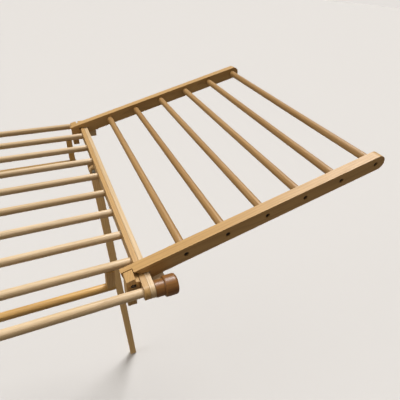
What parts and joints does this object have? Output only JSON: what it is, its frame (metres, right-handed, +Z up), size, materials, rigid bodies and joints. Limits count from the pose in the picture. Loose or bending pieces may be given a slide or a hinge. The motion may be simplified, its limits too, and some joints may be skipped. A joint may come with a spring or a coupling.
{
  "type": "wall mounted fold down drying rack",
  "caption": "Wooden clothes drying rack that folds down from a wall board: a panel of long dowels, a raised ladder wing at its outer end and a drop leg.",
  "frame": {"origin": "centre of the wall board's back face, level with the panel's dowels", "axes": "+X out from the wall along the long dowels, +Y along the wall, +Z up"},
  "size_m": [1.2609, 0.65, 0.8682],
  "materials": {
    "light_wood": "clear satin lacquer",
    "dark_wood": "clear satin lacquer",
    "steel": "plain zinc plated"
  },
  "bodies": {
    "wall": {"panel_hinge_pin_far": "steel", "panel_hinge_pin_near": "steel", "rest_strip": "light_wood", "wall_board": "light_wood", "wall_bracket_far": "light_wood", "wall_bracket_near": "light_wood", "wall_screw_1": "steel", "wall_screw_2": "steel", "wall_screw_3": "steel", "wall_screw_4": "steel"},
    "panel": {"end_rail_inner": "light_wood", "end_rail_outer": "light_wood", "hinge_block_far": "dark_wood", "hinge_block_near": "dark_wood", "inner_rail": "light_wood", "leg_block": "dark_wood", "leg_bolt": "steel", "low_rod_far": "dark_wood", "low_rod_near": "dark_wood", "panel_dowel_01": "light_wood", "panel_dowel_02": "light_wood", "panel_dowel_03": "light_wood", "panel_dowel_04": "light_wood", "panel_dowel_05": "light_wood", "panel_dowel_06": "light_wood", "panel_dowel_07": "light_wood", "panel_dowel_08": "light_wood", "panel_dowel_09": "light_wood", "panel_dowel_10": "light_wood", "rod_hanger_far_inner": "dark_wood", "rod_hanger_far_outer": "dark_wood", "rod_hanger_near_inner": "dark_wood", "rod_hanger_near_outer": "dark_wood", "wing_hinge_pin_far": "steel", "wing_hinge_pin_near": "steel"},
    "wing": {"wing_dowel_1": "light_wood", "wing_dowel_2": "light_wood", "wing_dowel_3": "light_wood", "wing_dowel_4": "light_wood", "wing_dowel_5": "light_wood", "wing_dowel_6": "light_wood", "wing_rail_far": "light_wood", "wing_rail_near": "light_wood", "wing_screw_far_1": "steel", "wing_screw_far_2": "steel", "wing_screw_far_3": "steel", "wing_screw_far_4": "steel", "wing_screw_far_5": "steel", "wing_screw_far_6": "steel", "wing_screw_near_1": "steel", "wing_screw_near_2": "steel", "wing_screw_near_3": "steel", "wing_screw_near_4": "steel", "wing_screw_near_5": "steel", "wing_screw_near_6": "steel"},
    "button_near": {"turn_button_near": "dark_wood"},
    "button_far": {"turn_button_far": "dark_wood"},
    "leg": {"drop_leg": "dark_wood"}
  },
  "joints": [
    {"name": "panel_fold", "type": "hinge", "parent": "wall", "child": "panel", "pos_m": [0.095, 0, 0], "axis": [0, -1, 0], "range_deg": [0, 88]},
    {"name": "wing_fold", "type": "hinge", "parent": "panel", "child": "wing", "pos_m": [0.848, 0, 0.0035], "axis": [0, -1, 0], "range_deg": [0, 156]},
    {"name": "button_near_turn", "type": "hinge", "parent": "panel", "child": "button_near", "pos_m": [0.88, -0.27, 0], "axis": [-1, 0, 0], "range_deg": [0, 90]},
    {"name": "button_far_turn", "type": "hinge", "parent": "panel", "child": "button_far", "pos_m": [0.88, 0.27, 0], "axis": [1, 0, 0], "range_deg": [0, 90]},
    {"name": "leg_fold", "type": "hinge", "parent": "panel", "child": "leg", "pos_m": [0.8593, 0.098, -0.026], "axis": [0, 1, 0], "range_deg": [0, 93]}
  ]
}
